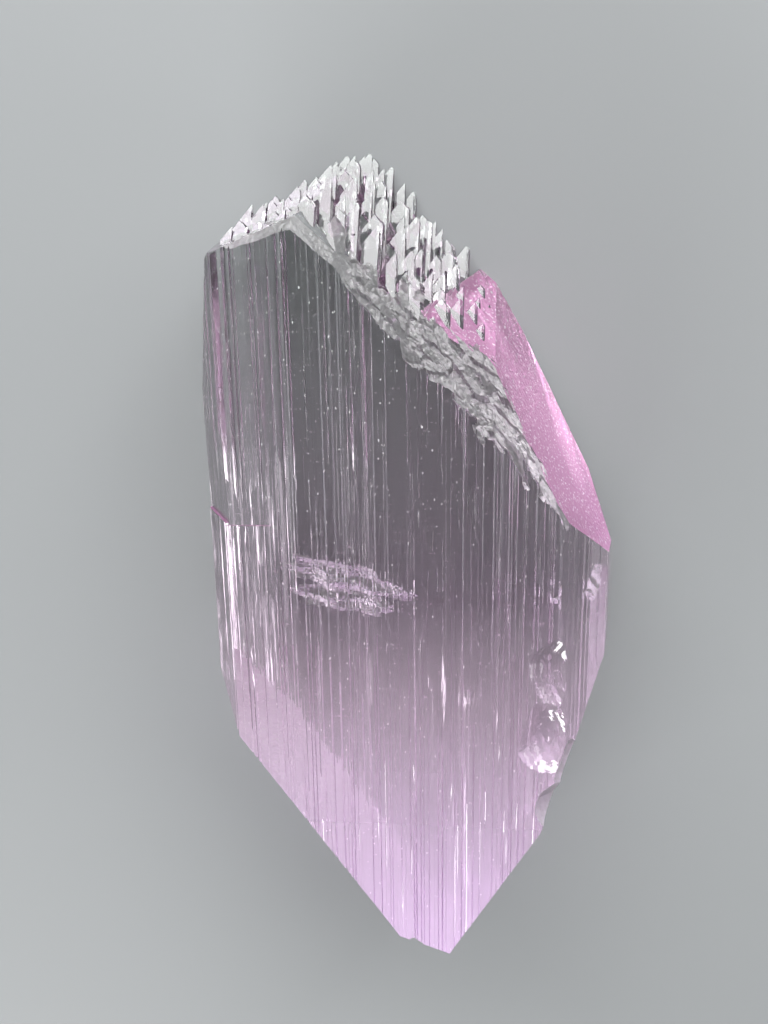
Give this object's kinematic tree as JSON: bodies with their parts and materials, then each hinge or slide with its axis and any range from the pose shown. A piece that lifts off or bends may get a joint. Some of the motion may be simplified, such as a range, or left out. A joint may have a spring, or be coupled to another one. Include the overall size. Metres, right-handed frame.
{
  "type": "kunzite crystal",
  "caption": "Flattened, striated, clear pink crystal with a slanted termination of pointed hillocks, a chipped ledge and a broken foot, lying on its broad back face.",
  "frame": {"origin": "bottom centre of the crystal's box, on the surface that it lies on", "axes": "+Y up the crystal along its striations, towards the pointed termination; +Z out of the striated front face; +X towards the side with the frosted pink end"},
  "size_m": [0.055, 0.1104, 0.025],
  "materials": {
    "kunzite": "clear, colourless grey at the top to lilac at the foot, with frosted pink end faces"
  },
  "bodies": {
    "root": {"kunzite_crystal": "kunzite"}
  },
  "joints": []
}
